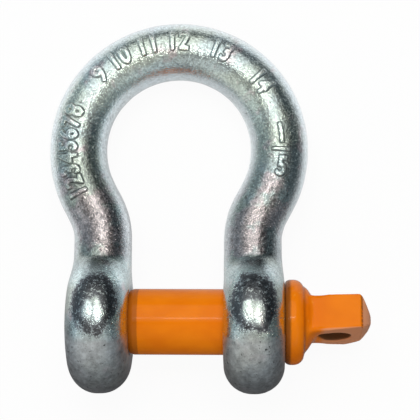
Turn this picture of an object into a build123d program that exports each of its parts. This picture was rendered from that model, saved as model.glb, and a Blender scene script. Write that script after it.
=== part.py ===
from build123d import *
import os
from math import asin, cos, degrees, radians, sin, sqrt

os.makedirs("parts", exist_ok=True)

# Screw pin bow shackle: one forged bow with two eyes, closed by one forged screw pin.
#
# Every piece is drawn in a bench frame: X is the pin's axis with the head at +X, +Y runs
# from the pin to the crown of the bow, and the origin is on the pin's axis, midway between
# the eyes. The last step turns both pieces about X, so that the eyes and the crown touch
# one plane, as the shackle lies when it is put down.

# Driving dimensions of the bow, in millimetres and degrees
bar_dia = 22.3
jaw_width = 36.0
bow_inside_dia = 56.7
inside_length = 83.0
neck_turn = 28.0
neck_radius = 26.0
eye_dia = 53.6
eye_drop = 0.7
eye_thickness = 23.5
eye_blend_radius = 4.0
flare_start = 10.0
flare_length = 18.0
bar_flat = 0.1

# Driving dimensions of the holes through the eyes
clearance_hole_dia = 27.2
threaded_hole_dia = 25.1
hole_chamfer = 1.5

# Driving dimensions of the screw pin, up to the back of its collar
pin_dia = 25.4
thread_dia = 24.9
tip_inset = 0.5
tip_chamfer = 2.0
relief_dia = 21.4
relief_length = 2.2
shoulder_dia = 24.2
shoulder_inset = 0.3
shoulder_chamfer = 1.8
collar_dia = 32.8
collar_seat_dia = 30.6
collar_bevel = 2.1
collar_land = 1.2
collar_width = 7.4

# Driving dimensions of the neck behind the collar, and of the flat lug that the pin is
# turned by. The forging sits a little to one side of the pin's axis from the neck on.
forging_offset = 1.1
neck_dia = 25.0
neck_land = 0.9
neck_end_dia = 13.2
neck_cone_length = 3.7
neck_round = 0.5
lug_root_width = 18.2
lug_end_width = 31.0
lug_root_thickness = 14.9
lug_end_thickness = 12.6
lug_reach = 32.8
lug_end_radius = 17.6
lug_end_offset = 2.5
lug_end_roller_radius = 9.2
lug_end_roller_offset = -1.7
lug_end_roller_reach = 0.3
lug_edge_round = 0.6
lug_root_round = 0.8
lug_turn = 10.8
bar_hole_dia = 12.0
bar_hole_reach = 19.0
bar_hole_chamfer = 0.6

# Sizes that follow from the driving dimensions
bar_radius = bar_dia / 2
section_round = bar_radius - bar_flat / 2
jaw_half = jaw_width / 2
leg_x = jaw_half + bar_radius
leg_outer_x = jaw_half + bar_dia
eye_outer_x = jaw_half + eye_thickness
eye_radius = eye_dia / 2
bow_radius = bow_inside_dia / 2 + bar_radius
crown_y = pin_dia / 2 + inside_length + bar_radius
bow_centre_y = crown_y - bow_radius
rest_tilt = degrees(asin((eye_radius - bar_radius) / (crown_y + eye_drop)))

# The neck: where the bow's circle ends, the straight below it, and the top of the leg
turn_sin = sin(radians(neck_turn))
turn_cos = cos(radians(neck_turn))
bow_end = Vector(bow_radius * turn_cos, bow_centre_y - bow_radius * turn_sin)
neck_straight = (bow_end.X - leg_x - neck_radius * (1 - turn_cos)) / turn_sin
neck_end = bow_end - Vector(turn_sin, turn_cos) * neck_straight
leg_top_y = neck_end.Y - neck_radius * turn_sin

# Stations along the pin, from the threaded tip to the end of the lug
tip_x = tip_inset - eye_outer_x
shoulder_x = -(jaw_half + shoulder_inset)
shank_x = shoulder_x + shoulder_chamfer
relief_x = shoulder_x - relief_length
seat_x = eye_outer_x
collar_back_x = seat_x + collar_width
cone_x = collar_back_x + neck_land
cone_end_x = cone_x + neck_cone_length
lug_end_x = seat_x + lug_reach
bar_hole_x = seat_x + bar_hole_reach


def centreline():
    """The bar's path: out from the right leg, round the bow and in to the left leg."""
    neck_centre_x = leg_x + neck_radius
    right_neck = CenterArc((neck_centre_x, leg_top_y), neck_radius, 180, -neck_turn)
    right_straight = Line(neck_end, bow_end)
    bow = CenterArc((0, bow_centre_y), bow_radius, -neck_turn, 180 + 2 * neck_turn)
    left_straight = Line((-bow_end.X, bow_end.Y), (-neck_end.X, neck_end.Y))
    left_neck = CenterArc((-neck_centre_x, leg_top_y), neck_radius, neck_turn, -neck_turn)
    return Wire([right_neck, right_straight, bow, left_straight, left_neck])


def bar():
    """The round bar of the bow, from the top of one leg to the top of the other."""
    path = centreline()
    start = Plane(origin=path @ 0, x_dir=(1, 0, 0), z_dir=path % 0)
    return sweep(start * RectangleRounded(bar_dia, bar_dia, section_round), path=path)


def eye_side_view():
    """The leg and the eye seen along the pin, with an arc in each corner between them."""
    blend_z = bar_radius + eye_blend_radius
    reach = eye_radius + eye_blend_radius
    blend_y = sqrt(reach ** 2 - blend_z ** 2) - eye_drop
    foot_y = (blend_y + eye_drop) * eye_radius / reach - eye_drop
    foot_z = blend_z * eye_radius / reach
    return Plane.YZ * make_face([
        Polyline(
            (blend_y, -bar_radius),
            (leg_top_y, -bar_radius),
            (leg_top_y, bar_radius),
            (blend_y, bar_radius),
        ),
        TangentArc((blend_y, bar_radius), (foot_y, foot_z), tangent=(-1, 0)),
        ThreePointArc((foot_y, foot_z), (-eye_radius - eye_drop, 0), (foot_y, -foot_z)),
        TangentArc((blend_y, -bar_radius), (foot_y, -foot_z), tangent=(-1, 0)),
    ])


def eye_front_view():
    """The leg and the eye seen from above: flat inside the jaw, flared on the outside."""
    flare_middle = ((eye_outer_x + leg_outer_x) / 2, flare_start + flare_length / 2)
    flare_end = flare_start + flare_length
    return make_face([
        Polyline(
            (leg_outer_x, flare_end),
            (leg_outer_x, leg_top_y),
            (jaw_half, leg_top_y),
            (jaw_half, -eye_dia),
            (eye_outer_x, -eye_dia),
            (eye_outer_x, flare_start),
        ),
        TangentArc((eye_outer_x, flare_start), flare_middle, tangent=(0, 1)),
        TangentArc((leg_outer_x, flare_end), flare_middle, tangent=(0, -1)),
    ])


def eye():
    """The right leg and eye. Its two rims are rounded as full as the bar that it carries on."""
    block = extrude(eye_side_view(), amount=2 * eye_outer_x)
    block = block & extrude(eye_front_view(), amount=eye_dia, both=True)
    rims = [edge for edge in block.edges() if is_rim(edge)]
    return fillet(rims, section_round)


def is_rim(edge):
    """Whether an edge runs round one of the eye's faces, and not across its thickness."""
    box = edge.bounding_box()
    crosses = box.size.Y < 0.01
    crosses = crosses or box.size.X > eye_thickness / 2
    return not crosses


def eye_hole(diameter):
    """The tool that cuts a hole through the right eye, with a chamfer at each mouth."""
    radius = diameter / 2
    offset = (eye_thickness - hole_chamfer) / 2
    cutter = Cylinder(radius, eye_thickness + 2)
    cutter += Pos(0, 0, -offset) * Cone(radius + hole_chamfer, radius, hole_chamfer)
    cutter += Pos(0, 0, offset) * Cone(radius, radius + hole_chamfer, hole_chamfer)
    return Pos(jaw_half + eye_thickness / 2, 0, 0) * Rot(0, 90, 0) * cutter


def make_bow():
    """The forged bow: its bar, the clear eye on the right and the threaded eye on the left."""
    right_eye = eye()
    left_eye = mirror(right_eye, about=Plane.YZ)
    bow = bar() + [right_eye, left_eye]
    bow -= eye_hole(clearance_hole_dia)
    bow -= mirror(eye_hole(threaded_hole_dia), about=Plane.YZ)
    return bow


def turned_pin():
    """The round part of the pin: threaded tip, relief, shank and collar."""
    thread_radius = thread_dia / 2
    seat_edge = (seat_x, collar_seat_dia / 2)
    crest_start = (seat_x + collar_bevel, collar_dia / 2)
    crest_end = (seat_x + collar_bevel + collar_land, collar_dia / 2)
    collar_back = (collar_back_x, neck_dia / 2)
    profile = make_face([
        Polyline(
            collar_back,
            (collar_back_x, 0),
            (tip_x, 0),
            (tip_x, thread_radius - tip_chamfer),
            (tip_x + tip_chamfer, thread_radius),
            (relief_x, thread_radius),
            (relief_x, relief_dia / 2),
            (shoulder_x, relief_dia / 2),
            (shoulder_x, shoulder_dia / 2),
            (shank_x, pin_dia / 2),
            (seat_x, pin_dia / 2),
            seat_edge,
        ),
        TangentArc(crest_start, seat_edge, tangent=(-1, 0)),
        Line(crest_start, crest_end),
        TangentArc(crest_end, collar_back, tangent=(1, 0)),
    ])
    return revolve(profile, axis=Axis.X)


def neck():
    """The round neck behind the collar. Its cone runs down into the lug's wide faces."""
    profile = make_face(Polyline(
        (seat_x + collar_bevel, 0),
        (seat_x + collar_bevel, neck_dia / 2),
        (cone_x, neck_dia / 2),
        (cone_end_x, neck_end_dia / 2),
        (cone_end_x, 0),
        close=True,
    ))
    return revolve(profile, axis=Axis.X)


def lug():
    """The flat lug, with its width along Z. It widens and thins away from the neck."""
    wide_view = Plane.XZ * make_face(Polyline(
        (collar_back_x, -lug_root_width / 2),
        (lug_end_x, -lug_end_width / 2),
        (lug_end_x, lug_end_width / 2),
        (collar_back_x, lug_root_width / 2),
        close=True,
    ))
    edge_view = make_face(Polyline(
        (collar_back_x, -lug_root_thickness / 2),
        (lug_end_x, -lug_end_thickness / 2),
        (lug_end_x, lug_end_thickness / 2),
        (collar_back_x, lug_root_thickness / 2),
        close=True,
    ))
    blank = extrude(wide_view, amount=lug_end_width, both=True)
    blank = blank & extrude(edge_view, amount=lug_end_width, both=True)
    blank = blank & lug_end_disc() & lug_end_roller()
    root = blank.faces().sort_by(Axis.X).first
    return fillet(blank.edges() - root.edges(), lug_edge_round)


def lug_end_disc():
    """The disc whose rim rounds the lug's end across its width."""
    disc = Rot(90, 0, 0) * Cylinder(lug_end_radius, lug_root_thickness + 2)
    return Pos(lug_end_x - lug_end_radius, 0, lug_end_offset) * disc


def lug_end_roller():
    """The bar with a half-round end that rounds the lug's end across its thickness."""
    radius = lug_end_roller_radius
    tail = -lug_reach
    section = make_face([
        Polyline((0, radius), (tail, radius), (tail, -radius), (0, -radius)),
        ThreePointArc((0, -radius), (radius, 0), (0, radius)),
    ])
    roller = extrude(section, amount=lug_end_width, both=True)
    return Pos(lug_end_x + lug_end_roller_reach - radius, lug_end_roller_offset, 0) * roller


def is_lug_root(edge):
    """Whether an edge lies in the corner where the lug grows out of the neck's cone."""
    box = edge.bounding_box()
    return box.min.X > cone_x + 0.01 and box.max.X < cone_end_x


def is_neck_shoulder(edge):
    """Whether an edge is the rim between the neck's straight part and its cone."""
    return edge.geom_type == GeomType.CIRCLE and abs(edge.center().X - cone_x) < 0.01


def head():
    """The neck and the lug in one, with the corner between them rounded."""
    forging = neck() + lug()
    forging = fillet([edge for edge in forging.edges() if is_lug_root(edge)], lug_root_round)
    return fillet([edge for edge in forging.edges() if is_neck_shoulder(edge)], neck_round)


def is_bar_hole_rim(edge):
    """Whether an edge is a mouth of the hole through the lug."""
    box = edge.bounding_box()
    round_it = abs(box.center().X - bar_hole_x) < 0.1 and abs(box.center().Z) < 0.1
    return round_it and edge.geom_type != GeomType.LINE


def make_screw_pin():
    """The forged screw pin, with a hole through its lug for a bar or a locking wire."""
    pin = turned_pin() + Pos(0, forging_offset, 0) * head()
    hole = Cylinder(bar_hole_dia / 2, lug_end_width)
    pin -= Pos(bar_hole_x, 0, 0) * Rot(90, 0, 0) * hole
    rims = [edge for edge in pin.edges() if is_bar_hole_rim(edge)]
    return chamfer(rims, bar_hole_chamfer)


def at_rest(piece):
    """Turn a piece from the bench frame to how the shackle lies."""
    return Rot(-rest_tilt, 0, 0) * piece


bow = at_rest(make_bow())
bow.label = "bow"
screw_pin = at_rest(Rot(-lug_turn, 0, 0) * make_screw_pin())
screw_pin.label = "screw_pin"

export_step(bow, "parts/bow.step")
export_step(screw_pin, "parts/screw_pin.step")
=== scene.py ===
"""Screw pin bow shackle: a galvanised bow and a painted screw pin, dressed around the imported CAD."""

import math
from contextlib import contextmanager
from functools import partial

import bmesh
import bpy
import numpy as np
from bpy.props import FloatProperty, FloatVectorProperty, PointerProperty
from mathutils import Matrix, Vector
from mathutils.bvhtree import BVHTree


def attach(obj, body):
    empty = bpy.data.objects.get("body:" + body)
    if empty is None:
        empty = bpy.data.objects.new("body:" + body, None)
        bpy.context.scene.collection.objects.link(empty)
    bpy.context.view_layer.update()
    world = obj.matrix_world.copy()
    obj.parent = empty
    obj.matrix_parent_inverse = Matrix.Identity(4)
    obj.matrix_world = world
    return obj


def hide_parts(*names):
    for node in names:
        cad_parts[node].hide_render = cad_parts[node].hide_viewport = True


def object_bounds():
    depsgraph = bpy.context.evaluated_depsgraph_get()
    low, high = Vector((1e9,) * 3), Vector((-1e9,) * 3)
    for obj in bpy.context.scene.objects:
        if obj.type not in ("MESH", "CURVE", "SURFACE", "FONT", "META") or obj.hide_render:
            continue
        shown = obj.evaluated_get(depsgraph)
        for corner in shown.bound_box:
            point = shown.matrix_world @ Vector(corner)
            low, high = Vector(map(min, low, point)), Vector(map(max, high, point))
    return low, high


bl_info = {
    "name": "Screw Pin Bow Shackle",
    "version": (1, 0, 0),
    "blender": (4, 5, 0),
    "location": "View3D > Sidebar > Shackle",
    "description": "Forges the bow and the screw pin around the CAD parts and sets them on a pale table",
    "category": "Add Mesh",
}

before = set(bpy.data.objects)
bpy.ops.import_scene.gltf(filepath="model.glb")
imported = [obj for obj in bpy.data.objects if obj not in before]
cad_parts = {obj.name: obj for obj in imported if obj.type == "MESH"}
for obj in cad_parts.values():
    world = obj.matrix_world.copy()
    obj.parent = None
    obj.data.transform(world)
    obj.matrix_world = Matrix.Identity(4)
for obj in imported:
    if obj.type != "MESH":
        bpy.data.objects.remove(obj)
CAD_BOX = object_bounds()

MM = 0.001
QUARTER_TURN = math.radians(90.0)
PIECE_BOW = "bow_forging"
PIECE_PIN = "pin_forging"

# The shackle rests on its eyes and on the crown, so its flat plane leans by this angle about the pin.
REST_TILT = math.radians(8.367)
# The pin is screwed in to where its flat lug leans this much from upright.
LUG_LEAN = math.radians(19.167)
# The mesh attribute that is 1 at the foot of the raised numbers and -1 on their tops.
CREASE = "crease"

# Sizes of the CAD parts that the dressed pieces are fitted to, in metres.
BAR_RADIUS = 11.15 * MM
BOW_CENTRE_Y = 67.35 * MM
BOW_RADIUS = 39.5 * MM
EYE_INNER_X = 18.0 * MM
EYE_OUTER_X = 41.5 * MM
EYE_MIDDLE_X = (EYE_INNER_X + EYE_OUTER_X) / 2
CLEARANCE_HOLE_RADIUS = 13.6 * MM
THREADED_HOLE_RADIUS = 12.55 * MM
HOLE_CHAMFER = 1.5 * MM
PIN_RADIUS = 12.7 * MM
THREAD_RADIUS = 12.45 * MM
PIN_TIP_X = -41.0 * MM
COLLAR_SEAT_X = 41.5 * MM
NECK_X = 50.5 * MM
BAR_HOLE_X = 60.5 * MM
BAR_HOLE_RADIUS = 6.0 * MM
LUG_EDGE_X = 70.3 * MM
LUG_TIP_X = 74.3 * MM
THREAD_PITCH = 3.175 * MM
RELIEF_RADIUS = 10.7 * MM
CREASE_ANGLE = math.radians(38.0)

# Raised numbers along the bar: what they say, degrees from the crown to their middle, and millimetres
# outward from the middle of the bar's face.
ARC_NUMBERS = (
    ("12345678", -93.5, 2.6),
    ("9 10 11 12", -22.0, 1.7),
    ("13", 24.0, 1.4),
    ("14", 52.0, 1.4),
)
# Raised numbers that stand across the bar, above and below a short raised line.
STACKED_NUMBERS = (("1", 83.6, 0.9), ("5", 101.8, 1.6))
STACK_LINE = (92.1, 0.5)
# How tall a numeral of size 1 is in Blender's own font.
NUMERAL_HEIGHT = 0.73
# Those of the bow's sizes that shape its skin.
SKIN_SIZES = (
    "Unevenness", "Lump size", "Parting height", "Parting width",
    "Number height", "Number width", "Number spacing", "Stroke", "Relief", "Flank",
)


def fresh_object(name, data):
    """A new object at the origin with this mesh, lamp or camera."""
    made = bpy.data.objects.new(name, data)
    bpy.context.scene.collection.objects.link(made)
    return made


@contextmanager
def shaped(mesh):
    """An empty bmesh that becomes this mesh's shape in the end."""
    shape = bmesh.new()
    yield shape
    shape.to_mesh(mesh)
    shape.free()


def work_in(piece):
    """Replaces a piece's mesh by the result of its modifiers, and removes them."""
    graph = bpy.context.evaluated_depsgraph_get()
    old = piece.data
    mesh = bpy.data.meshes.new_from_object(piece.evaluated_get(graph))
    piece.modifiers.clear()
    piece.data = mesh
    bpy.data.meshes.remove(old)
    mesh.name = piece.name
    return piece


def read_points(mesh):
    """A mesh's vertex places as rows."""
    flat = np.empty(len(mesh.vertices) * 3)
    mesh.vertices.foreach_get("co", flat)
    return flat.reshape(-1, 3)


def write_points(mesh, points):
    """Moves a mesh's vertices to these rows."""
    mesh.vertices.foreach_set("co", np.ascontiguousarray(points, dtype=np.float64).ravel())
    mesh.update()


def smoothstep(x):
    """0 below 0, 1 above 1, and a soft rise between."""
    x = np.clip(x, 0.0, 1.0)
    return x * x * (3.0 - 2.0 * x)


class CadSkin:
    """The outside of a CAD part, curved between its triangles' corners as their normals say."""

    def __init__(self, part):
        mesh = part.data
        self.points = read_points(mesh)
        corners = np.empty(len(mesh.loops), dtype=np.int64)
        mesh.loops.foreach_get("vertex_index", corners)
        self.triangles = corners.reshape(-1, 3)
        normals = np.empty(len(mesh.loops) * 3)
        mesh.corner_normals.foreach_get("vector", normals)
        self.normals = normals.reshape(-1, 3, 3)
        self.tree = BVHTree.FromPolygons(
            [Vector(point) for point in self.points], self.triangles.tolist()
        )

    def onto(self, points):
        """The nearest places on the skin."""
        nearest = [self.tree.find_nearest(Vector(point)) for point in points]
        flat = np.array([hit[0] for hit in nearest])
        which = np.array([hit[2] for hit in nearest])
        corner = self.points[self.triangles[which]]
        normal = self.normals[which]
        weights = self.barycentric(flat, corner)
        lift = np.einsum("nij,nij->ni", flat[:, None] - corner, normal)
        bulge = np.einsum("ni,ni,nij->nj", weights, lift, normal)
        return flat - 0.5 * bulge

    @staticmethod
    def barycentric(points, corner):
        """Each point's weights on the corners of its triangle."""
        first = corner[:, 1] - corner[:, 0]
        second = corner[:, 2] - corner[:, 0]
        rest = points - corner[:, 0]
        dot = partial(np.einsum, "ni,ni->n")
        aa, ab, bb = dot(first, first), dot(first, second), dot(second, second)
        ra, rb = dot(rest, first), dot(rest, second)
        area = np.maximum(aa * bb - ab * ab, 1e-30)
        v = (bb * ra - ab * rb) / area
        w = (aa * rb - ab * ra) / area
        return np.stack([1.0 - v - w, v, w], axis=1)


def to_bench(points):
    """Points in the bow's own flat plane, with the bow upright in x and y and its face in z."""
    cos = math.cos(REST_TILT)
    sin = math.sin(REST_TILT)
    x, y, z = np.moveaxis(points, -1, 0)
    return np.stack([x, y * cos - z * sin, y * sin + z * cos], axis=-1)


# Node trees

MATH_NODE = "ShaderNodeMath"


def left_of(operation):
    """An operator's method that adds this Math node, with the Value on the operator's left."""
    return lambda self, other: self.math(operation, other)


def right_of(operation):
    """An operator's method that adds this Math node, with the Value on the operator's right."""
    return lambda self, other: self.maker.node(MATH_NODE, {"operation": operation}, [other, self])


class Value:
    """A node's output that is used like a number. Each sum or product adds its Math node."""

    def __init__(self, maker, socket):
        self.maker = maker
        self.socket = socket

    def math(self, operation, *others):
        """Adds the Math node of this operation."""
        return self.maker.node(MATH_NODE, {"operation": operation}, [self, *others])

    def __neg__(self):
        return self.math("MULTIPLY", -1.0)

    __add__, __radd__ = left_of("ADD"), right_of("ADD")
    __sub__, __rsub__ = left_of("SUBTRACT"), right_of("SUBTRACT")
    __mul__, __rmul__ = left_of("MULTIPLY"), right_of("MULTIPLY")
    __truediv__, __rtruediv__ = left_of("DIVIDE"), right_of("DIVIDE")
    __pow__ = left_of("POWER")


class Maker:
    """Adds nodes to one tree."""

    def __init__(self, tree):
        self.tree = tree
        self.count = 0

    def node(self, kind, settings=None, inputs=(), output=0):
        """Adds a node: its settings first, then its inputs' values or links by index or name."""
        made = self.tree.nodes.new(kind)
        made.location = (200.0 * (self.count % 12), -180.0 * (self.count // 12))
        self.count += 1
        for key, value in (settings or {}).items():
            setattr(made, key, value)
        pairs = inputs.items() if isinstance(inputs, dict) else enumerate(inputs)
        for key, value in pairs:
            self.feed(made.inputs[key], value)
        return Value(self, made.outputs[output]) if len(made.outputs) else made

    def feed(self, socket, value):
        """Links a Value to a socket, or writes a plain value on it. A colour needs no alpha."""
        if isinstance(value, Value):
            self.tree.links.new(value.socket, socket)
        else:
            opaque = socket.type == "RGBA" and len(value) == 3
            socket.default_value = (*value, 1.0) if opaque else value

    def split(self, vector):
        """A vector's three numbers."""
        made = self.tree.nodes.new("ShaderNodeSeparateXYZ")
        self.feed(made.inputs[0], vector)
        return [Value(self, out) for out in made.outputs]

    def ramp(self, factor, low, high):
        """A soft rise from 0 at low to 1 at high."""
        settings = {"interpolation_type": "SMOOTHSTEP", "clamp": True}
        return self.node(
            "ShaderNodeMapRange", settings, {"Value": factor, "From Min": low, "From Max": high}
        )

    def fall(self, factor, low, high):
        """A soft fall from 1 at low to 0 at high."""
        return 1.0 - self.ramp(factor, low, high)

    def band(self, factor, low, full, ebb, high):
        """A soft rise from 0 at low to 1 at full, and then a fall from 1 at ebb to 0 at high."""
        return self.ramp(factor, low, full) * self.fall(factor, ebb, high)

    def vector(self, x, y=0.0, z=0.0):
        """A vector of three numbers."""
        return self.node("ShaderNodeCombineXYZ", None, [x, y, z])

    def placed(self, geometry, **how):
        """A geometry that is moved, turned or scaled as its Transform node's sockets say."""
        return self.node("GeometryNodeTransform", None, {"Geometry": geometry, **how})

    def grey(self, level):
        """A grey as light as this number."""
        return self.node("ShaderNodeCombineColor", None, [level, level, level])

    def mix_colour(self, factor, first, second, blend="MIX"):
        """One colour over another. Its sockets are those of a colour Mix node."""
        settings = {"data_type": "RGBA", "blend_type": blend}
        return self.node("ShaderNodeMix", settings, {0: factor, 6: first, 7: second}, output=2)


def geometry_tree(name, sizes, counts=()):
    """A Geometry Nodes tree with inputs for these sizes and counts, its maker and its inputs."""
    tree = bpy.data.node_groups.new(name, "GeometryNodeTree")
    kinds = {"Geometry": "Geometry", "Material": "Material"}
    kinds.update(dict.fromkeys(sizes, "Float"))
    kinds.update(dict.fromkeys(counts, "Int"))
    for label, kind in kinds.items():
        tree.interface.new_socket(label, in_out="INPUT", socket_type="NodeSocket" + kind)
    tree.interface.new_socket("Geometry", in_out="OUTPUT", socket_type="NodeSocketGeometry")
    maker = Maker(tree)
    entry = tree.nodes.new("NodeGroupInput")
    values = {socket.name: Value(maker, socket) for socket in entry.outputs if socket.name}
    return tree, maker, values


def end_tree(maker, geometry, material):
    """Ends a Geometry Nodes tree in Realize Instances and Set Material."""
    real = maker.node("GeometryNodeRealizeInstances", None, {"Geometry": geometry})
    painted = maker.node("GeometryNodeSetMaterial", None, {"Geometry": real, "Material": material})
    leave = maker.tree.nodes.new("NodeGroupOutput")
    maker.feed(leave.inputs["Geometry"], painted)


def run_tree(piece, tree, values):
    """Runs a tree on a piece with these inputs, and keeps the result as its plain mesh."""
    modifier = piece.modifiers.new(tree.name, "NODES")
    modifier.node_group = tree
    for item in tree.interface.items_tree:
        if item.item_type == "SOCKET" and item.in_out == "INPUT" and item.name in values:
            modifier[item.identifier] = values[item.name]
    return work_in(piece)


def helical_groove_tree():
    """Sweeps a flat-ended V along a right-hand helix about X, centred on Radius and Depth deep."""
    tree, maker, given = geometry_tree(
        "helical groove",
        ("Start", "Length", "Radius", "Pitch", "Depth", "Inner width", "Outer width"),
        ("Steps per turn",),
    )
    run = {
        "Resolution": given["Steps per turn"],
        "Rotations": given["Length"] / given["Pitch"],
        "Start Radius": given["Radius"],
        "End Radius": given["Radius"],
        "Height": given["Length"],
        "Reverse": True,
    }
    helix = maker.node("GeometryNodeCurveSpiral", None, run)
    upright = maker.node("GeometryNodeSetCurveNormal", {"mode": "Z_UP"}, {"Curve": helix})
    section = {
        "Height": given["Depth"],
        "Bottom Width": given["Outer width"],
        "Top Width": given["Inner width"],
        "Offset": 0.0,
    }
    groove = maker.node("GeometryNodeCurvePrimitiveQuadrilateral", {"mode": "TRAPEZOID"}, section)
    turned_in = maker.placed(groove, Rotation=(0.0, 0.0, QUARTER_TURN))
    sweep = {"Curve": upright, "Profile Curve": turned_in, "Fill Caps": True}
    swept = maker.node("GeometryNodeCurveToMesh", None, sweep)
    start = maker.vector(given["Start"])
    laid = maker.placed(swept, Translation=start, Rotation=(0.0, QUARTER_TURN, 0.0))
    end_tree(maker, laid, given["Material"])
    return tree


def forged_skin_tree():
    """Gives a forging its uneven skin, its trimmed parting line and its raised numbers.

    The numbers lie flat in the tree: X runs along the bar, and Y reaches over it from side to side.
    Each point of the bow finds its own place on that flat strip, and rises where a number lies.
    """
    tree, maker, given = geometry_tree(
        "forged skin",
        ("Lean", "Bow centre", "Bow radius", "Bar radius", "Eye face", *SKIN_SIZES),
    )

    def on_strip(shape, degrees, outward, turn):
        """Sets a flat shape down on the strip, turned about its own middle."""
        place = maker.vector(given["Bow radius"] * math.radians(degrees), outward * MM)
        return maker.placed(shape, Translation=place, Rotation=(0.0, 0.0, turn))

    def numbers(text, degrees, outward, turn):
        """A line of flat numbers on the strip."""
        values = {
            "String": text,
            "Size": given["Number height"] / NUMERAL_HEIGHT,
            "Character Spacing": given["Number spacing"],
        }
        centred = {"align_x": "CENTER", "align_y": "MIDDLE"}
        curves = maker.node("GeometryNodeStringToCurves", centred, values)
        drawn = maker.node("GeometryNodeRealizeInstances", None, {"Geometry": curves})
        filled = maker.node("GeometryNodeFillCurve", None, {"Curve": drawn})
        narrow = maker.vector(given["Number width"], 1.0, 1.0)
        return on_strip(maker.placed(filled, Scale=narrow), degrees, outward, turn)

    position = maker.node("GeometryNodeInputPosition")
    lean = {"Vector": position, "Angle": given["Lean"]}
    leaned = maker.node("ShaderNodeVectorRotate", {"rotation_type": "X_AXIS"}, lean)
    x, y, z = maker.split(leaned)
    up = y - given["Bow centre"]
    angle = x.math("ARCTAN2", up)
    reach = (x * x + up * up).math("SQRT") - given["Bow radius"]
    along = angle * given["Bow radius"]
    across = reach.math("ARCTAN2", z) * given["Bar radius"]
    here = maker.vector(along, across)

    dash_size = {"Size X": given["Stroke"] * 2.0, "Size Y": given["Number height"] * 0.8}
    dash = maker.node("GeometryNodeMeshGrid", None, dash_size)
    strips = [numbers(*line, 0.0) for line in ARC_NUMBERS]
    strips += [numbers(*line, QUARTER_TURN) for line in STACKED_NUMBERS]
    strips.append(on_strip(dash, *STACK_LINE, 0.0))
    join = maker.tree.nodes.new("GeometryNodeJoinGeometry")
    for strip in strips:
        maker.feed(join.inputs[0], strip)
    sample = {"Geometry": Value(maker, join.outputs[0]), "Sample Position": here}
    near = maker.node("GeometryNodeProximity", {"target_element": "FACES"}, sample, output=1)
    foot = given["Stroke"] + given["Flank"]
    in_front = maker.ramp(z, 0.0, given["Bar radius"] * 0.3)
    number = in_front * maker.fall(near, given["Stroke"], foot)
    crease = in_front * maker.band(near, given["Stroke"], foot, foot, foot + given["Flank"])

    def lumps(scale, seed):
        """Slow swells around 0."""
        settings = {"noise_dimensions": "4D"}
        values = {"Vector": position, "W": seed, "Scale": scale, "Detail": 1.0}
        return maker.node("ShaderNodeTexNoise", settings, values) - 0.5

    _, height, depth = maker.split(position)
    from_pin = (height * height + depth * depth).math("SQRT")
    off_eye_face = maker.ramp(from_pin, given["Eye face"], given["Eye face"] * 1.25)
    uneven = lumps(1.0 / given["Lump size"], 3.0) + 0.45 * lumps(3.1 / given["Lump size"], 8.0)
    parting = maker.fall(z.math("ABSOLUTE"), 0.0, given["Parting width"])
    trimmed = parting * (0.7 + lumps(0.6 / given["Lump size"], 5.0))
    skin = uneven * given["Unevenness"] + trimmed * given["Parting height"]
    rise = off_eye_face * skin + number * given["Relief"]
    normal = maker.node("GeometryNodeInputNormal")
    move = maker.node("ShaderNodeVectorMath", {"operation": "SCALE"}, {0: normal, "Scale": rise})
    kind = {"data_type": "FLOAT", "domain": "POINT"}
    mark = {"Geometry": given["Geometry"], "Name": CREASE, "Value": crease - number}
    marked = maker.node("GeometryNodeStoreNamedAttribute", kind, mark)
    moved = maker.node("GeometryNodeSetPosition", None, {"Geometry": marked, "Offset": move})
    end_tree(maker, moved, given["Material"])
    return tree


# Shapes


def dense_skin(part, skin, voxel, plugs=()):
    """A fine, even, closed mesh on a CAD part's curved skin. Plugs close the part's round holes."""
    closed = bpy.data.meshes.new("closed")
    with shaped(closed) as shape:
        shape.from_mesh(part.data)
        bmesh.ops.remove_doubles(shape, verts=shape.verts, dist=1e-7)
        for inner, outer, radius in plugs:
            middle = Matrix.Translation(((inner + outer) / 2, 0.0, 0.0))
            bmesh.ops.create_cone(
                shape,
                cap_ends=True,
                cap_tris=False,
                segments=96,
                radius1=radius,
                radius2=radius,
                depth=abs(outer - inner),
                matrix=middle @ Matrix.Rotation(QUARTER_TURN, 4, "Y"),
            )
    piece = fresh_object("closed", closed)
    remesh = piece.modifiers.new("even", "REMESH")
    remesh.mode = "VOXEL"
    remesh.voxel_size = voxel
    work_in(piece)
    settle(piece.data, skin, plugs)
    return piece


def settle(mesh, skin, plugs=()):
    """Lays a mesh's points on the skin, and those over a plug on the plug's ends."""
    points = read_points(mesh)
    laid = skin.onto(points)
    for inner, outer, radius in plugs:
        from_axis = np.hypot(points[:, 1], points[:, 2])
        over = (from_axis < radius) & (points[:, 0] * inner > 0)
        near_outer = np.abs(points[:, 0] - outer) < np.abs(points[:, 0] - inner)
        laid[over] = points[over]
        laid[over, 0] = np.where(near_outer[over], outer, inner)
    write_points(mesh, laid)


def refine(mesh, chosen, times):
    """Splits the faces whose centres are chosen, and leaves the rest."""
    with shaped(mesh) as shape:
        shape.from_mesh(mesh)
        for _ in range(times):
            picked = chosen(np.array([face.calc_center_median() for face in shape.faces]))
            edges = {edge for face, pick in zip(shape.faces, picked) if pick for edge in face.edges}
            bmesh.ops.subdivide_edges(shape, edges=list(edges), cuts=1, use_grid_fill=True)
        many_sided = [face for face in shape.faces if len(face.verts) > 4]
        bmesh.ops.triangulate(shape, faces=many_sided)


def round_steps(steps):
    """The cosine and the sine at each step round a circle."""
    angles = [2.0 * math.pi * step / steps for step in range(steps)]
    return [(math.cos(angle), math.sin(angle)) for angle in angles]


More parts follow.
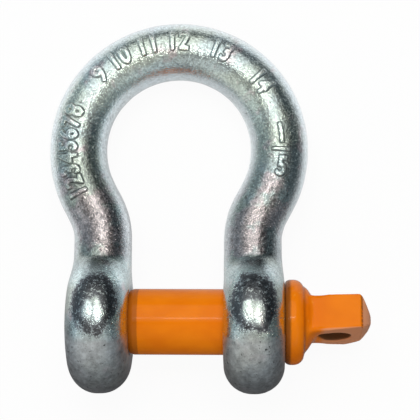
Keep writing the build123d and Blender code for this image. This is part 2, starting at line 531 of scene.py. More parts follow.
def turned(name, profile, steps):
    """A closed solid turned about X. The profile is (x, radius) from one end to the other."""
    mesh = bpy.data.meshes.new(name)
    with shaped(mesh) as shape:
        rings = []
        for x, radius in profile:
            places = [(x, radius * cos, radius * sin) for cos, sin in round_steps(steps)]
            rings.append([shape.verts.new(place) for place in places])
        for first, second in zip(rings, rings[1:]):
            for step in range(steps):
                after = (step + 1) % steps
                shape.faces.new((first[step], first[after], second[after], second[step]))
        shape.faces.new(list(reversed(rings[0])))
        shape.faces.new(rings[-1])
        bmesh.ops.recalc_face_normals(shape, faces=shape.faces)
    return fresh_object(name, mesh)


def carve(piece, tool, operation="DIFFERENCE"):
    """Cuts a tool out of a piece, or joins it on, and deletes the tool with its mesh."""
    cut = piece.modifiers.new("cut", "BOOLEAN")
    cut.operation = operation
    cut.solver = "EXACT"
    cut.object = tool
    work_in(piece)
    bpy.data.meshes.remove(tool.data)
    return piece


def groove(name, material, **sizes):
    """A helical groove's cutting tool."""
    tree = bpy.data.node_groups.get("helical groove") or helical_groove_tree()
    tool = fresh_object(name, bpy.data.meshes.new(name))
    values = {key.replace("_", " ").capitalize(): value for key, value in sizes.items()}
    return run_tree(tool, tree, {**values, "Material": material})


def soft_shading(mesh, sharp_angle):
    """Smooth faces, with a crease wherever two of them meet at more than this angle."""
    mesh.shade_smooth()
    mesh.set_sharp_from_angle(angle=sharp_angle)


def forge_bow(sizes, material):
    """The bow with its uneven skin, raised numbers, clearance hole and threaded hole."""
    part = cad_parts["bow"]
    skin = CadSkin(part)
    ease = 0.1 * MM
    plugs = (
        (-EYE_INNER_X, -EYE_OUTER_X, THREADED_HOLE_RADIUS + HOLE_CHAMFER + ease),
        (EYE_INNER_X, EYE_OUTER_X, CLEARANCE_HOLE_RADIUS + HOLE_CHAMFER + ease),
    )
    piece = dense_skin(part, skin, sizes.mesh_size, plugs)
    piece.name = PIECE_BOW
    refine(piece.data, on_number_strip, times=2)
    settle(piece.data, skin, plugs)
    values = {
        "Lean": REST_TILT,
        "Bow centre": BOW_CENTRE_Y,
        "Bow radius": BOW_RADIUS,
        "Bar radius": BAR_RADIUS,
        "Eye face": CLEARANCE_HOLE_RADIUS + HOLE_CHAMFER,
        "Material": material,
    }
    for label in SKIN_SIZES:
        values[label] = getattr(sizes, label.lower().replace(" ", "_"))
    run_tree(piece, forged_skin_tree(), values)
    carve(piece, hole_tool("clearance hole", 1.0, CLEARANCE_HOLE_RADIUS))
    carve(piece, hole_tool("threaded hole", -1.0, THREADED_HOLE_RADIUS))
    run_out = 2.5 * MM
    tool = groove(
        "nut thread",
        material,
        start=-EYE_OUTER_X - run_out,
        length=EYE_OUTER_X - EYE_INNER_X + 2 * run_out,
        radius=THREADED_HOLE_RADIUS + 0.2 * MM,
        pitch=THREAD_PITCH,
        depth=2.0 * MM,
        inner_width=2.75 * MM,
        outer_width=0.45 * MM,
        steps_per_turn=64,
    )
    carve(piece, tool)
    soft_shading(piece.data, CREASE_ANGLE)
    return piece


def on_number_strip(centres):
    """True for places on the front of the bar where the raised numbers lie."""
    x, y, z = np.moveaxis(to_bench(centres), -1, 0)
    up = y - BOW_CENTRE_Y
    angle = np.degrees(np.arctan2(x, up))
    across = np.arctan2(np.hypot(x, up) - BOW_RADIUS, z) * BAR_RADIUS
    stack_reach = 17.5
    face_middle = 1.9 * MM
    face_reach = 5.9 * MM
    reached = np.abs(angle - 0.5 * (STACKED_NUMBERS[0][1] + STACKED_NUMBERS[1][1])) < stack_reach
    for text, degrees, _ in ARC_NUMBERS:
        line_reach = 4.5 * len(text) ** 0.93 + 2.0
        reached |= np.abs(angle - degrees) < line_reach
    return reached & (np.abs(across - face_middle) < face_reach)


def hole_tool(name, side, radius):
    """The cutting tool for an eye's hole and the chamfers at both its ends."""
    past = 1.0 * MM
    wide = radius + HOLE_CHAMFER + past
    profile = (
        (side * (EYE_INNER_X - past), wide),
        (side * (EYE_INNER_X + HOLE_CHAMFER), radius),
        (side * (EYE_OUTER_X - HOLE_CHAMFER), radius),
        (side * (EYE_OUTER_X + past), wide),
    )
    return turned(name, profile, steps=144)


def forge_pin(sizes, material):
    """The screw pin: the forged head on the turned shank, with the thread cut into its end."""
    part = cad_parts["screw_pin"]
    skin = CadSkin(part)
    head = dense_skin(part, skin, sizes.mesh_size)
    cut_off(head.data, COLLAR_SEAT_X + 0.1 * MM)
    soften(head, 2, lambda points: np.ones(len(points)))
    soften(head, 90, around_neck)
    write_points(head.data, domed_end(read_points(head.data)))
    soften(head, 6, past_lug_edge)
    head.name = PIECE_PIN
    carve(head, threaded_shank(sizes, material), "UNION")
    head.data.materials.clear()
    head.data.materials.append(material)
    soft_shading(head.data, CREASE_ANGLE)
    return head


def around_neck(points):
    """1 where the neck flows into the lug, and 0 on the collar and along the lug."""
    x = points[:, 0]
    rise = smoothstep((x - NECK_X + 2.2 * MM) / (1.4 * MM))
    return rise * (1.0 - smoothstep((x - NECK_X - 3.6 * MM) / (4.0 * MM)))


def past_lug_edge(points):
    """1 on the domed end of the lug, and 0 on the rest of the head."""
    return smoothstep((points[:, 0] - LUG_EDGE_X - 0.4 * MM) / (0.8 * MM))


def domed_end(points):
    """The head's points with the lug's end drawn in across its thickness, as a die leaves it."""
    across = np.array([0.0, math.cos(LUG_LEAN), -math.sin(LUG_LEAN)])
    past = smoothstep((points[:, 0] - LUG_EDGE_X) / (LUG_TIP_X + 0.6 * MM - LUG_EDGE_X))
    drawn_in = 0.55
    return points - np.outer(drawn_in * past * (points @ across), across)


def soften(piece, rounds, weigh):
    """Smooths a piece's mesh this many times, as strongly as the weights of its points say."""
    group = piece.vertex_groups.new(name="soften")
    for index, weight in enumerate(weigh(read_points(piece.data))):
        if weight > 0.01:
            group.add((index,), float(weight), "REPLACE")
    smooth = piece.modifiers.new("soften", "SMOOTH")
    smooth.factor = 0.5
    smooth.iterations = rounds
    smooth.vertex_group = group.name
    work_in(piece)
    piece.vertex_groups.clear()


def cut_off(mesh, x):
    """Takes away what lies on the low side of x, and closes the mesh there."""
    with shaped(mesh) as shape:
        shape.from_mesh(mesh)
        everything = [*shape.verts, *shape.edges, *shape.faces]
        bmesh.ops.bisect_plane(
            shape, geom=everything, plane_co=(x, 0, 0), plane_no=(1, 0, 0), clear_inner=True
        )
        rim = [edge for edge in shape.edges if edge.is_boundary]
        bmesh.ops.holes_fill(shape, edges=rim)


def threaded_shank(sizes, material):
    """The pin's turned end: tip, thread, relief groove, shoulder and plain shank."""
    shoulder = -(EYE_INNER_X + 0.3 * MM)
    relief_start = shoulder - 2.2 * MM
    profile = (
        (PIN_TIP_X, THREAD_RADIUS - 2.0 * MM),
        (PIN_TIP_X + 2.0 * MM, THREAD_RADIUS),
        (relief_start, THREAD_RADIUS),
        (relief_start, RELIEF_RADIUS),
        (shoulder, RELIEF_RADIUS),
        (shoulder, PIN_RADIUS - 0.6 * MM),
        (shoulder + 1.8 * MM, PIN_RADIUS),
        (COLLAR_SEAT_X + 3.0 * MM, PIN_RADIUS),
    )
    shank = turned("shank", rounded(profile, radius=0.25 * MM, steps=3), steps=160)
    depth = sizes.thread_depth
    tool = groove(
        "bolt thread",
        material,
        start=PIN_TIP_X - 2.5 * MM,
        length=relief_start - PIN_TIP_X + 3.4 * MM,
        radius=THREAD_RADIUS + 0.2 * MM - depth / 2,
        pitch=THREAD_PITCH,
        depth=depth + 0.4 * MM,
        inner_width=0.6 * MM,
        outer_width=sizes.thread_crest_gap,
        steps_per_turn=64,
    )
    return carve(shank, tool)


def rounded(profile, radius, steps):
    """A turned profile with its corners rounded."""
    points = [Vector(point) for point in profile]
    result = [points[0]]
    for before, corner, after in zip(points, points[1:], points[2:]):
        reach = min(radius, (corner - before).length / 2.5, (after - corner).length / 2.5)
        start = corner + (before - corner).normalized() * reach
        end = corner + (after - corner).normalized() * reach
        for step in range(steps + 1):
            t = step / steps
            result.append(start * (1 - t) ** 2 + corner * 2 * t * (1 - t) + end * t**2)
    result.append(points[-1])
    return [tuple(point) for point in result]


# Finishes


def fresh_nodes(owner):
    """The maker of the nodes of a material or world, which has none yet."""
    owner.use_nodes = True
    owner.node_tree.nodes.clear()
    return Maker(owner.node_tree)


def end_material(maker, shader, kind="ShaderNodeOutputMaterial"):
    """Links a shader to the surface of its material or world."""
    output = maker.tree.nodes.new(kind)
    maker.feed(output.inputs["Surface"], shader)


def finish_surface(maker, height, values):
    """Ends a material in a Principled shader with these values, on a skin as bumpy as this height."""
    bump = maker.node("ShaderNodeBump", None, {"Strength": 1.0, "Distance": 1.0, "Height": height})
    end_material(maker, maker.node("ShaderNodeBsdfPrincipled", None, {**values, "Normal": bump}))


def speckle(maker, place, size, detail, roughness, seed):
    """A noise around 0 whose grains are about this size."""
    settings = {"noise_dimensions": "4D"}
    values = {"Vector": place, "W": seed, "Scale": 1.0 / size, "Detail": detail}
    values["Roughness"] = roughness
    return maker.node("ShaderNodeTexNoise", settings, values) - 0.5


def galvanised(sizes):
    """Hot-dip zinc: grainy grey metal with crystals, drifting tints, dark pits, and smooth sides with a
    pale painted reflection.

    Each eye has a flat grey lower half, painted darker towards the bottom as shade. Above it sits a
    painted dark reflection with a painted highlight in its middle. Painted shade darkens the bar low down
    and round the numbers' foot, a painted highlight lightens the numbers' tops, and a painted reflection
    tints the saddles.
    """
    material = bpy.data.materials.new("galvanised_zinc")
    maker = fresh_nodes(material)
    place = maker.node("ShaderNodeTexCoord", output=3)
    side, height, depth = maker.split(place)
    noise = partial(speckle, maker, place)
    grain = noise(sizes.grain_size, 2.0, 0.6, 1.0)
    coarse = noise(sizes.grain_size * 2.6, 2.0, 0.6, 6.0)
    dust = noise(sizes.grain_size * 0.45, 1.0, 0.5, 2.0)
    cloud = noise(11 * MM, 2.0, 0.5, 3.0)
    tint = noise(15 * MM, 2.0, 0.5, 4.0)
    blush = noise(8 * MM, 2.0, 0.6, 7.0)
    mottle = noise(2.6 * MM, 3.0, 0.6, 8.0)
    pit = maker.ramp(noise(1.1 * MM, 2.0, 0.7, 5.0), 0.12, 0.22)
    cells = {"Vector": place, "Scale": 0.6 / sizes.grain_size}
    crystals = maker.node("ShaderNodeTexVoronoi", None, cells, output=1)
    crystal = maker.node("ShaderNodeRGBToBW", None, [crystals]) - 0.5
    marked = maker.node("ShaderNodeAttribute", {"attribute_name": CREASE}, output=2)
    # Painted shade at the foot of the raised numbers, and a painted highlight on their tops.
    crease_shade = maker.ramp(marked, 0.0, 1.0)
    raised = maker.ramp(-marked, 0.2, 1.0)

    # Where a point lies: how far round the pin from level, and how far from the middle of its eye.
    lean = height.math("ARCTAN2", depth.math("ABSOLUTE")) + 0.4 * blush
    off_middle = side.math("ABSOLUTE") - EYE_MIDDLE_X
    aside = off_middle.math("ABSOLUTE")
    off_plane = height * math.sin(REST_TILT) + depth * math.cos(REST_TILT)
    fronting = maker.ramp(off_plane.math("ABSOLUTE"), 5.0 * MM, 9.5 * MM)
    matte = maker.fall(lean, math.radians(-14.0), math.radians(-4.0))
    # Painted shade: the eyes darker towards the bottom.
    low = maker.fall(lean, math.radians(-80.0), math.radians(-30.0))
    on_legs = maker.band(height, 24 * MM, 27 * MM, 48 * MM, 62 * MM)
    saddle = maker.band(height, 13 * MM, 17 * MM, 21 * MM, 25 * MM)
    beside = maker.ramp(aside, 3.5 * MM, 7.0 * MM)
    eye_face = maker.ramp(aside, 8.5 * MM, 10.5 * MM) * maker.fall(height, 15 * MM, 21 * MM)
    # Painted shade: the front of the bar darker low down, on the legs, and less so on the eyes.
    below = maker.fall(height + 20 * MM * blush, 40 * MM, 95 * MM)
    below = below * fronting * (0.15 + 0.85 * maker.ramp(height, 16 * MM, 26 * MM))

    def oval(middle, reach, across):
        """0 at an oval's middle and 1 at its rim. Its middle and its reach are in degrees of lean."""
        up = (lean - math.radians(middle)) / math.radians(reach)
        return up**2.0 + across**2.0

    # A painted dark reflection on each eye's upper half, broken up by grain.
    patch = oval(22.5, 27.5, off_middle / (8.8 * MM)) + grain + 0.7 * coarse
    patch = maker.fall(patch, 0.7, 1.15) * maker.fall(height, 20 * MM, 22 * MM)
    # A painted highlight: a zone in each eye's middle, with two brighter painted highlight spots in it.
    highlight_zone = oval(12.0, 10.0, off_middle / (4.8 * MM)) + 1.6 * grain + 1.8 * coarse
    highlight_zone = maker.fall(highlight_zone, 0.45, 1.3)
    painted_highlight_spot = oval(13.0, 8.0, (aside - 2.2 * MM) / (2.0 * MM)) + 1.2 * grain
    painted_highlight_spot = highlight_zone * maker.fall(painted_highlight_spot, 0.4, 1.5)
    # Bright grains that break up the painted dark reflection.
    spark = maker.ramp(grain + 0.9 * coarse, 0.06, 0.18)
    dark = patch * (1.0 - 0.9 * highlight_zone) * (1.0 - 0.65 * spark)

    tinted = maker.mix_colour(maker.ramp(tint, -0.10, 0.10), sizes.blue_zinc, sizes.green_zinc)
    layers = (
        (0.8 * maker.ramp(blush + 0.16 * on_legs, 0.06, 0.23), sizes.pink_zinc),
        # A painted reflection of the table: the bar's sides tinted pale blue-white.
        (0.8 * (1.0 - fronting), sizes.rim_reflection_zinc),
        (0.6 * matte, sizes.matte_zinc),
        # A painted reflection tinting the saddles.
        (0.7 * saddle, sizes.saddle_reflection_zinc),
        # The painted dark reflection on the eyes.
        (0.7 * dark, sizes.dark_reflection_zinc),
    )
    for share, shade in layers:
        tinted = maker.mix_colour(share, tinted, shade)

    grit = (0.35 + 0.65 * fronting) * (1.0 - 0.6 * matte) * (1.0 + 0.4 * on_legs)
    grit = grit * (1.0 - 0.7 * eye_face)
    specks = (0.45 + 0.6 * on_legs) * coarse + (1.5 * grain + 0.6 * dust)
    lightness = 1.0 + 0.16 * cloud + 0.22 * crystal + specks * grit
    lightness = lightness + 1.3 * mottle * matte - (0.4 + 0.6 * matte) * pit
    # Painted shade round the numbers' foot and a painted highlight on their tops.
    lightness = lightness * (1.0 - 0.52 * crease_shade) * (1.0 + 0.3 * raised)
    # Painted shade low on the bar's front and towards the eyes' bottoms, and a painted reflection lighter
    # at the saddles' sides.
    lightness = lightness * (1.0 - 0.46 * below) * (1.0 - 0.38 * low) * (1.0 + 0.4 * saddle * beside)
    # Painted dark reflection on each eye, with painted highlight spots in its middle.
    lightness = lightness * (1.0 - 0.8 * dark) * (1.0 - 0.3 * highlight_zone + 0.8 * painted_highlight_spot)
    gloss = sizes.zinc_roughness + 0.16 * grain + 0.10 * cloud + 0.08 * crystal + 0.15 * pit
    bumps = (grain + 0.35 * dust + 0.3 * crystal + 0.35 * coarse) * (1.0 - 0.75 * eye_face)
    finish_surface(
        maker,
        sizes.grain_depth * (bumps - 0.4 * pit),
        {
            "Base Color": maker.mix_colour(1.0, tinted, maker.grey(lightness), "MULTIPLY"),
            "Metallic": 1.0,
            "Roughness": gloss + 0.15 * crease_shade + 0.3 * matte,
            "Coat Weight": 0.5,
            "Coat Roughness": 0.3,
        },
    )
    return material


def painted(sizes):
    """Glossy orange enamel over a forging, a little uneven, with rubbed edges and painted shade in the
    bore.

    Painted shade darkens it beside the threaded eye, by the collar's seat and in the neck, and a dark
    line runs along the lug's edge. The lug's end and underside are dull, with a pale painted sheen.
    """
    material = bpy.data.materials.new("orange_enamel")
    maker = fresh_nodes(material)
    place = maker.node("ShaderNodeTexCoord", output=3)
    along, height, depth = maker.split(place)
    noise = partial(speckle, maker, place)
    peel = noise(1.6 * MM, 2.0, 0.5, 1.0)
    sag = noise(7.0 * MM, 1.0, 0.5, 2.0)
    cloud = noise(13.0 * MM, 2.0, 0.5, 3.0)
    fleck = noise(0.6 * MM, 3.0, 0.7, 4.0)
    edge = maker.ramp(maker.node("ShaderNodeNewGeometry", output=7), 0.53, 0.60)
    chip = maker.ramp(edge * (0.5 + 1.4 * fleck), 0.60, 0.66)

    def ragged(by):
        """The place along the pin, with this much of a ragged edge."""
        return along + by * fleck

    # Where a point lies across the lug's width and above its middle plane.
    width = height * math.sin(LUG_LEAN) + depth * math.cos(LUG_LEAN)
    above = height * math.cos(LUG_LEAN) - depth * math.sin(LUG_LEAN)
    # Painted shade deep in the bar hole.
    off_bore = ((along - BAR_HOLE_X) ** 2.0 + width**2.0).math("SQRT")
    bore_shade = maker.fall(off_bore, BAR_HOLE_RADIUS + 0.05 * MM, BAR_HOLE_RADIUS + 0.5 * MM)
    bore_shade = bore_shade * maker.ramp(along, NECK_X - 0.5 * MM, NECK_X + 1.5 * MM)
    # A pale painted sheen on the lug's underside.
    under = maker.fall(above + 0.4 * MM * fleck, -5.4 * MM, -4.9 * MM)
    under = under * maker.ramp(along, NECK_X + 3.5 * MM, NECK_X + 6.5 * MM)
    # The lug's end: duller enamel with a pale painted sheen.
    dull_sheen_end = maker.ramp(ragged(1.2 * MM), LUG_EDGE_X - 0.1 * MM, LUG_EDGE_X + 0.7 * MM)
    # A painted shadow on the collar next to the eye's face.
    seat_shadow = maker.fall(ragged(0.8 * MM), COLLAR_SEAT_X + 1.5 * MM, COLLAR_SEAT_X + 2.7 * MM)
    seat_shadow = seat_shadow * maker.ramp(along, COLLAR_SEAT_X - 0.1 * MM, COLLAR_SEAT_X)
    # A painted shadow on the shank beside the threaded eye.
    thread_shadow = maker.fall(ragged(0.6 * MM), 3.1 * MM - EYE_INNER_X, 3.6 * MM - EYE_INNER_X)
    # Painted shade in the groove where the collar meets the neck.
    groove_shade = maker.band(along - NECK_X, -2.5 * MM, -1.6 * MM, -1.6 * MM, -0.6 * MM)
    # A dark line along the lug's edge.
    ridge = maker.band(along - LUG_EDGE_X, -0.5 * MM, -0.1 * MM, 0.2 * MM, 0.6 * MM)
    ridge = ridge * maker.ramp(width, 12.0 * MM, 13.0 * MM)
    ridge = ridge * maker.ramp(fleck + 0.3 * sag, -0.12, 0.05)

    even = maker.ramp(cloud + 0.4 * sag, -0.2, 0.2)
    shade = maker.mix_colour(even, sizes.deep_orange, sizes.orange)
    layers = (
        (0.3 * edge, sizes.rubbed_orange),
        # The pale painted sheen on the lug's end and underside.
        ((0.6 * dull_sheen_end).math("MAXIMUM", 0.5 * under), sizes.sheen_orange),
        # Painted shade by the seat, in the groove and beside the thread, and a dark line on the lug's
        # edge.
        (0.8 * seat_shadow + 0.35 * groove_shade + 0.75 * ridge + 0.5 * thread_shadow, sizes.dark_shade_orange),
        # Painted shade in the bar hole.
        (bore_shade, sizes.bore_shade_brown),
        (0.8 * chip, sizes.chip_brown),
    )
    for share, over in layers:
        shade = maker.mix_colour(share, shade, over)
    gloss = sizes.paint_roughness + 0.10 * cloud + 0.05 * peel + 0.25 * chip + 0.3 * dull_sheen_end
    chip_depth = 0.012 * MM
    finish_surface(
        maker,
        sizes.peel_depth * (peel + 0.25 * fleck + 2.0 * sag) - chip_depth * chip,
        {"Base Color": shade, "Roughness": gloss, "Specular IOR Level": 0.14},
    )
    return material


# Stage

# The room's soft round panels of light and its dark parts: each one's azimuth, its angle from straight up
# and its reach, in degrees.
PANELS = {
    "ceiling": (97, 36, 30),
    "left_window": (215, 54, 28),
    "front_window": (296, 32, 34),
    "right_window": (8, 28, 16),
    "left_wall": (160, 79, 40),
    "dark_ceiling": (162, 24, 65),
    "dark_corner": (45, 85, 50),
}
PANEL_SOFTNESS = 6.0
WHITE = (1.0, 1.0, 1.0)
NEARLY_BLACK = (0.01, 0.01, 0.01)
LAMP_AIM = Vector((0.0, 0.04, 0.0))


def area_lamp(name, place, width, depth, power, tint):
    """A rectangular lamp at a place, aimed at the shackle, with its width along X."""
    data = bpy.data.lights.new(name, "AREA")
    data.shape = "RECTANGLE"
    data.size = width
    data.size_y = depth
    data.energy = power
    data.color = tint
    lamp = fresh_object(name, data)
    back = (Vector(place) - LAMP_AIM).normalized()
    across = Vector((1.0, 0.0, 0.0))
    up = back.cross(across).normalized()
    across = up.cross(back)
    turn = Matrix((across, up, back)).transposed().to_4x4()
    lamp.matrix_world = Matrix.Translation(place) @ turn
    return lamp


def studio_world(sizes):
    """A dim bluish room with soft panels of light and darker parts, plain white to the camera."""
    world = bpy.data.worlds.new("studio")
    maker = fresh_nodes(world)
    way = maker.node("ShaderNodeTexCoord")

    def panel(name):
        """This panel's light, from 0 outside its soft edge to its full level inside."""
        azimuth, polar, reach = PANELS[name]
        across = math.sin(math.radians(polar))
        middle = (
            across * math.cos(math.radians(azimuth)),
            across * math.sin(math.radians(azimuth)),
            math.cos(math.radians(polar)),
        )
        settings = {"operation": "DOT_PRODUCT"}
        towards = maker.node("ShaderNodeVectorMath", settings, {0: way, 1: middle}, output=1)
        outer = math.cos(math.radians(reach + PANEL_SOFTNESS))
        inner = math.cos(math.radians(reach - PANEL_SOFTNESS))
        return getattr(sizes, name) * maker.ramp(towards, outer, inner)

    room = sizes.room_level + panel("left_wall") - panel("dark_ceiling") - panel("dark_corner")
    panels = panel("ceiling") + panel("left_window") + panel("front_window") + panel("right_window")
    walls = maker.mix_colour(1.0, sizes.room_tint, maker.grey(room), "MULTIPLY")
    lit = maker.mix_colour(1.0, sizes.panel_tint, maker.grey(panels), "MULTIPLY")
    walls = maker.mix_colour(1.0, walls, lit, "ADD")
    walls = maker.mix_colour(1.0, walls, NEARLY_BLACK, "LIGHTEN")
    sky = maker.mix_colour(maker.node("ShaderNodeLightPath"), walls, WHITE)
    light = maker.node("ShaderNodeBackground", None, {"Color": sky, "Strength": 1.0})
    end_material(maker, light, "ShaderNodeOutputWorld")
    bpy.context.scene.world = world


def pale_floor(sizes):
    """A plain white table top that keeps a soft shadow of the shackle.

    In metal it shows a painted glow, dimmer at the front, on the right and far off, with a painted shadow
    inside the bow.
    """
    material = bpy.data.materials.new("white_table")
    maker = fresh_nodes(material)
    matt = maker.node("ShaderNodeBsdfDiffuse", None, {"Color": sizes.floor_colour, "Roughness": 0.0})
    seen = maker.tree.nodes.new("ShaderNodeLightPath")
    by_camera, by_gloss, through_glass = (
        Value(maker, seen.outputs[key])
        for key in ("Is Camera Ray", "Is Glossy Ray", "Is Transmission Ray")
    )
    side, height, _ = maker.split(maker.node("ShaderNodeTexCoord", output=3))
    away = ((side + 70 * MM) ** 2.0 + (height - 60 * MM) ** 2.0).math("SQRT")
    off_centre = (side**2.0 + (height - BOW_CENTRE_Y) ** 2.0).math("SQRT")
    inside = maker.fall(off_centre, 40 * MM, 60 * MM)
    # The painted glow that metal sees: bright behind, dimmer in front, to the right and far off, and a
    # painted shadow inside the bow.
    lit = maker.ramp(height, -40 * MM, 75 * MM) * (1.0 - 0.85 * maker.ramp(away, 130 * MM, 320 * MM))
    lit = lit * (1.0 - 0.5 * maker.ramp(side - 0.6 * height, 0.0, 95 * MM))
    lit = lit * (1.0 - 0.4 * inside * maker.ramp(0.5 * height - side, 10 * MM, 33 * MM))
    level = by_camera + (1.0 - by_camera) * (0.1 + 0.9 * lit)
    glow = maker.node("ShaderNodeEmission", None, {"Color": maker.grey(level), "Strength": 1.0})
    lift = sizes.floor_lift * by_camera + by_gloss + through_glass
    end_material(maker, maker.node("ShaderNodeMixShader", None, {0: lift, 1: matt, 2: glow}))

    radius = 1.6
    top = CAD_BOX[0][2] - 0.02 * MM
    mesh = bpy.data.meshes.new("table")
    with shaped(mesh) as shape:
        places = [(radius * cos, radius * sin, top) for cos, sin in round_steps(96)]
        shape.faces.new([shape.verts.new(place) for place in places])
    mesh.materials.append(material)
    fresh_object("table", mesh)


def photo_camera(sizes):
    """The camera above the shackle, at the photograph's place and angle."""
    data = bpy.data.cameras.new("camera")
    data.lens = sizes.lens
    data.sensor_width = 36.0
    data.clip_start = 0.01
    data.clip_end = 20.0
    camera = fresh_object("camera", data)
    place = Matrix.Translation(sizes.camera_place)
    for angle, axis in zip(reversed(sizes.camera_turn), "ZYX"):
        place = place @ Matrix.Rotation(angle, 4, axis)
    camera.matrix_world = place
    bpy.context.scene.camera = camera


# Add-on


def length(name, description, default, **more):
    """A size in metres that a user can change."""
    return FloatProperty(
        name=name, description=description, default=default, unit="LENGTH", precision=5, **more
    )


def paint(name, description, default):
    """A colour that a user can change."""
    return FloatVectorProperty(
        name=name, description=description, default=default, subtype="COLOR", min=0.0, max=1.0
    )


def share(name, description, default, low=0.0, high=1.0):
    """A share of something that a user can change."""
    return FloatProperty(name=name, description=description, default=default, min=low, max=high)


def strength(name, description, default):
    """A lighting strength that a user can change."""
    return FloatProperty(name=name, description=description, default=default, min=0.0)


def power(name, description, default):
    """A lamp's power that a user can change."""
    return FloatProperty(name=name, description=description, default=default, unit="POWER")


class BowSizes(bpy.types.PropertyGroup):
    """Sizes and colours of the galvanised bow."""

    mesh_size: length("Mesh size", "Distance between the points of the bow's mesh", 0.95 * MM)
    unevenness: length("Unevenness", "How far the forged skin wanders", 0.22 * MM)
    lump_size: length("Lump size", "How long the forged skin's waves are", 9.0 * MM)
    parting_height: length("Parting height", "How proud the trimmed parting line stands", 0.15 * MM)
    parting_width: length("Parting width", "Half the width of the trimmed parting line", 1.4 * MM)
    number_height: length("Number height", "Height of the raised numbers", 7.4 * MM)
    number_width: share("Number width", "How narrow the numbers are drawn", 0.74, 0.3)
    number_spacing: share("Number spacing", "How far apart the numbers stand", 1.18, 0.8, 2.0)
    stroke: length("Stroke", "How much the numbers' strokes are thickened", 0.22 * MM)
    relief: length("Relief", "How proud the raised numbers stand", 0.65 * MM)
    flank: length("Flank", "How wide the soft sides of the raised numbers are", 0.45 * MM)
    grain_size: length("Grain size", "Size of the zinc's grain", 0.68 * MM)
    grain_depth: length("Grain depth", "Height of the zinc's grain", 0.16 * MM)
    zinc_roughness: share("Zinc roughness", "How dull the zinc is", 0.2)
    blue_zinc: paint("Blue zinc", "The bluest of the zinc's greys", (0.60, 0.71, 0.745))
    # The bar's sides: smoother zinc with a pale painted reflection of the table.
    rim_reflection_zinc: paint("Rim reflection zinc", "The smooth zinc on the bar's sides", (0.78, 0.86, 0.90))
    green_zinc: paint("Green zinc", "The greenest of the zinc's greys", (0.655, 0.745, 0.70))
    matte_zinc: paint("Matte zinc", "The dull zinc on the eyes' lower halves", (0.70, 0.68, 0.73))
    # The colour of the painted reflection on the saddles.
    saddle_reflection_zinc: paint("Saddle reflection zinc", "The smooth zinc between the eyes and the legs", (0.58, 0.72, 0.75))
    # The colour of the painted dark reflection on the eyes.
    dark_reflection_zinc: paint("Dark reflection zinc", "The dark patches on the eyes", (0.72, 0.76, 0.90))
    pink_zinc: paint("Pink zinc", "The pinkest of the zinc's greys", (0.79, 0.69, 0.74))


class PinSizes(bpy.types.PropertyGroup):
    """Sizes and colours of the painted screw pin."""

    mesh_size: length("Mesh size", "Distance between the points of the head's mesh", 0.42 * MM)
    thread_depth: length("Thread depth", "How deep the thread is cut", 1.6 * MM)
    thread_crest_gap: length("Thread gap", "How wide the thread's groove is at the top", 2.6 * MM)
    peel_depth: length("Peel depth", "How uneven the enamel is", 0.006 * MM)
    paint_roughness: share("Paint roughness", "How dull the enamel is", 0.09)
    orange: paint("Orange", "The enamel's colour", (0.88, 0.222, 0.004))
    deep_orange: paint("Deep orange", "The enamel's colour where it is thick", (0.80, 0.182, 0.003))
    rubbed_orange: paint("Rubbed orange", "The enamel's colour on rubbed edges", (0.9, 0.34, 0.04))
    # The colour of the pale painted sheen on the lug's end and underside.
    sheen_orange: paint("Sheen orange", "The enamel on the lug's end and underside", (0.70, 0.39, 0.255))
    # The colour of painted shade in corners and beside the eyes, and of the dark line on the lug's edge.
    dark_shade_orange: paint("Dark shade orange", "The enamel in corners", (0.16, 0.05, 0.01))
    # The colour of the painted shade in the bar hole.
    bore_shade_brown: paint("Bore shade brown", "The thin, greasy enamel in the bar hole", (0.20, 0.085, 0.035))
    chip_brown: paint("Chip brown", "What shows where the enamel has chipped", (0.20, 0.12, 0.06))


class StageSizes(bpy.types.PropertyGroup):
    """The camera, the lamps and the table top."""

    lens: FloatProperty(
        name="Lens", description="Focal length of the camera", default=122.23, unit="CAMERA"
    )
    camera_place: FloatVectorProperty(
        name="Camera place",
        description="Where the camera stands",
        default=(0.03267, 0.04488, 0.550),
        subtype="TRANSLATION",
    )
    camera_turn: FloatVectorProperty(
        name="Camera turn",
        description="How the camera is turned from looking straight down",
        default=(-0.0030, 0.0364, 0.0009),
        subtype="EULER",
    )
    floor_colour: paint("Table colour", "Colour of the table top", (0.86, 0.87, 0.88))
    floor_lift: share("Table lift", "How far the camera sees the table top as plain white", 0.94)
    room_tint: paint("Room tint", "Colour of the room's own light", (0.76, 0.93, 1.0))
    panel_tint: paint("Panel tint", "Colour of the soft panels", (0.98, 1.0, 0.955))
    room_level: strength("Room level", "Light from all around", 0.19)
    ceiling: strength("Ceiling", "Soft panel above and behind", 1.42)
    left_wall: strength("Left wall", "Light off the wall at the back left", 0.50)
    left_window: strength("Left window", "Soft panel at the front left", 0.80)
    front_window: strength("Front window", "Soft panel at the front right", 0.58)
    right_window: strength("Right window", "Soft panel above to the right", 0.15)
    dark_ceiling: strength("Dark ceiling", "How much darker the ceiling is between the panels", 0.34)
    dark_corner: strength("Dark corner", "How much darker the room is at the back right", 0.10)
    fill_power: power("Fill power", "Power of the broad lamp overhead", 2.45)
    strip_power: power("Strip power", "Power of the long strip lamp", 0.60)
    strip_tint: paint("Strip tint", "Colour of the long strip lamp", (1.0, 0.97, 0.86))


class SHACKLE_OT_forge_bow(bpy.types.Operator):
    """Makes the galvanised bow and lets it stand for the CAD bow"""

    bl_idname = "shackle.forge_bow"
    bl_label = "Forge Bow"

    def execute(self, context):
        sizes = context.scene.shackle_bow
        bow = forge_bow(sizes, galvanised(sizes))
        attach(bow, "bow")
        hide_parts("bow")
        return {"FINISHED"}


class SHACKLE_OT_forge_pin(bpy.types.Operator):
    """Makes the painted screw pin and lets it stand for the CAD pin"""

    bl_idname = "shackle.forge_pin"
    bl_label = "Forge Screw Pin"

    def execute(self, context):
        sizes = context.scene.shackle_pin
        pin = forge_pin(sizes, painted(sizes))
        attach(pin, "screw_pin")
        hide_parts("screw_pin")
        return {"FINISHED"}


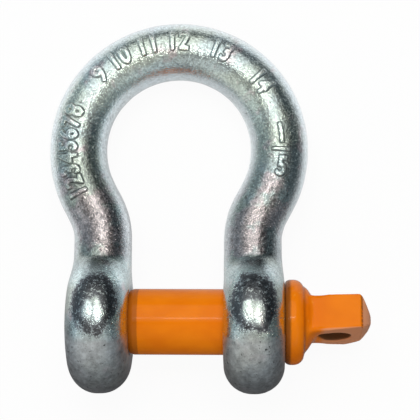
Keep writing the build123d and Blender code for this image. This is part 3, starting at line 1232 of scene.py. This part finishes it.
class SHACKLE_OT_set_stage(bpy.types.Operator):
    """Sets up the table top, the lamps, the room and the camera"""

    bl_idname = "shackle.set_stage"
    bl_label = "Set Stage"

    def execute(self, context):
        sizes = context.scene.shackle_stage
        scene = context.scene
        scene.view_settings.view_transform = "Standard"
        studio_world(sizes)
        pale_floor(sizes)
        overhead = (0.0, 0.36, 0.70)
        fill = area_lamp("fill", overhead, 0.45, 0.40, sizes.fill_power, WHITE)
        fill.visible_glossy = False
        behind = (0.05, 0.25, 0.80)
        area_lamp("strip", behind, 0.44, 0.014, sizes.strip_power, sizes.strip_tint)
        photo_camera(sizes)
        return {"FINISHED"}


class SHACKLE_PT_sidebar(bpy.types.Panel):
    """The shackle's pieces, in the order in which they are made"""

    bl_idname = "SHACKLE_PT_sidebar"
    bl_label = "Screw Pin Bow Shackle"
    bl_space_type = "VIEW_3D"
    bl_region_type = "UI"
    bl_category = "Shackle"

    def draw(self, context):
        for group, operator in zip(SIZES, OPERATORS):
            box = self.layout.box()
            sizes = getattr(context.scene, group)
            for key in sizes.__annotations__:
                box.prop(sizes, key)
            box.operator(operator.bl_idname)


SIZES = {"shackle_bow": BowSizes, "shackle_pin": PinSizes, "shackle_stage": StageSizes}
OPERATORS = (SHACKLE_OT_forge_bow, SHACKLE_OT_forge_pin, SHACKLE_OT_set_stage)
CLASSES = (*SIZES.values(), *OPERATORS, SHACKLE_PT_sidebar)


def register():
    """Makes the classes known to Blender, and hangs the sizes on the scene."""
    for made in CLASSES:
        bpy.utils.register_class(made)
    for key, group in SIZES.items():
        setattr(bpy.types.Scene, key, PointerProperty(type=group))


def unregister():
    """Takes back what register did."""
    for key in SIZES:
        delattr(bpy.types.Scene, key)
    for made in reversed(CLASSES):
        bpy.utils.unregister_class(made)


def main():
    """Makes the whole shackle and its stage."""
    register()
    bpy.ops.shackle.forge_bow()
    bpy.ops.shackle.forge_pin()
    bpy.ops.shackle.set_stage()


if __name__ == "__main__":
    main()
